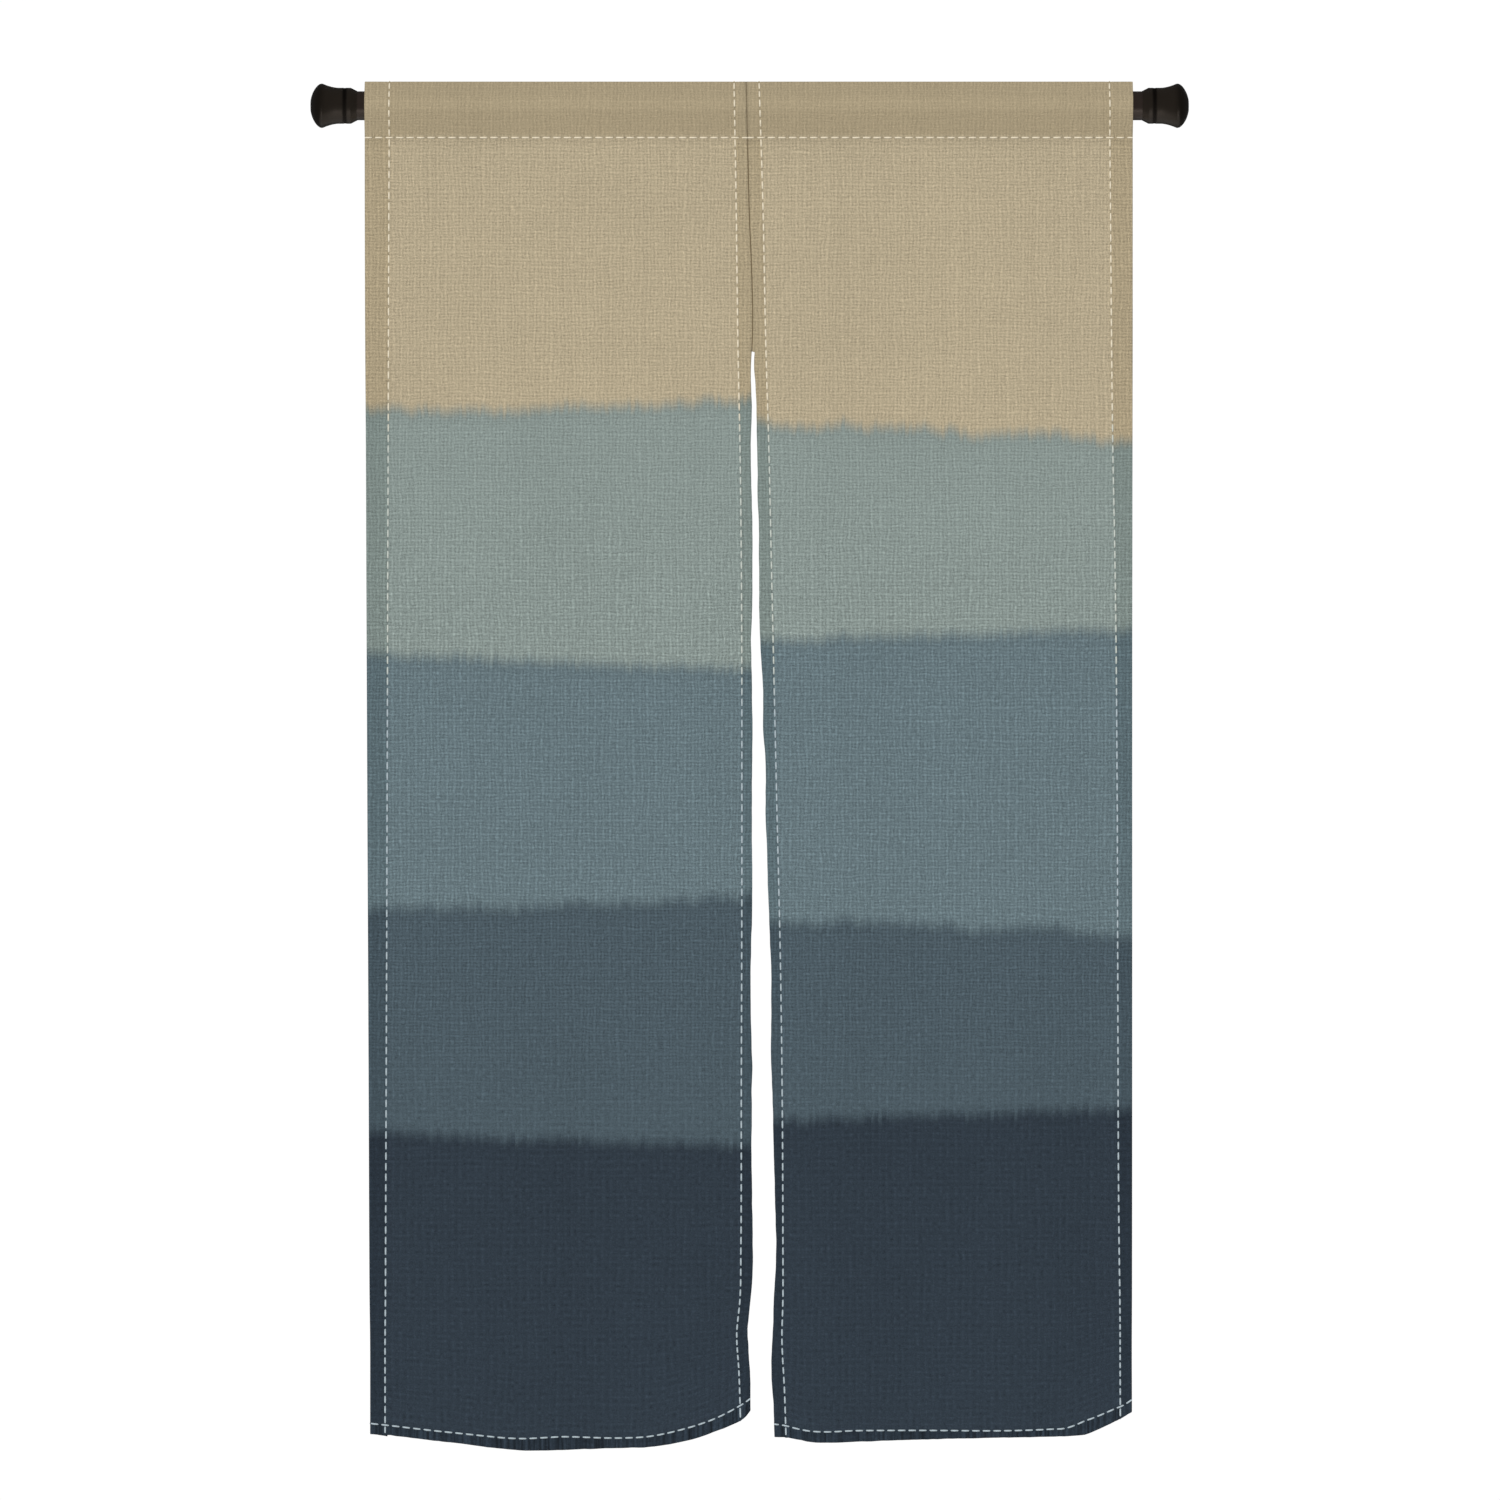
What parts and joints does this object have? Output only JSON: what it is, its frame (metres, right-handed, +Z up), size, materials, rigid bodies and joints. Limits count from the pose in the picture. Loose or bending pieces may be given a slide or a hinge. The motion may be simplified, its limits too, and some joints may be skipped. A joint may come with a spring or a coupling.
{
  "type": "noren curtain on a rod",
  "caption": "Split door curtain of woven cloth hanging by its sewn pocket on a plain round rod with flared end caps that press on a doorway's sides.",
  "frame": {"origin": "middle of the left end cap's flat tip, on the rod's axis", "axes": "+X runs along the rod from its left end to its right end as seen from the front, +Y points to the back, +Z is up"},
  "size_m": [0.972, 0.049, 1.5155],
  "materials": {
    "cloth": "coarse plain weave with slubs, dip-dyed from sand through sage to navy",
    "rod": "satin dark brown",
    "end_cap": "satin dark brown"
  },
  "bodies": {
    "root": {"panel_left": "cloth", "panel_right": "cloth", "rod": "rod", "end_cap_left": "end_cap", "end_cap_right": "end_cap"}
  },
  "joints": []
}
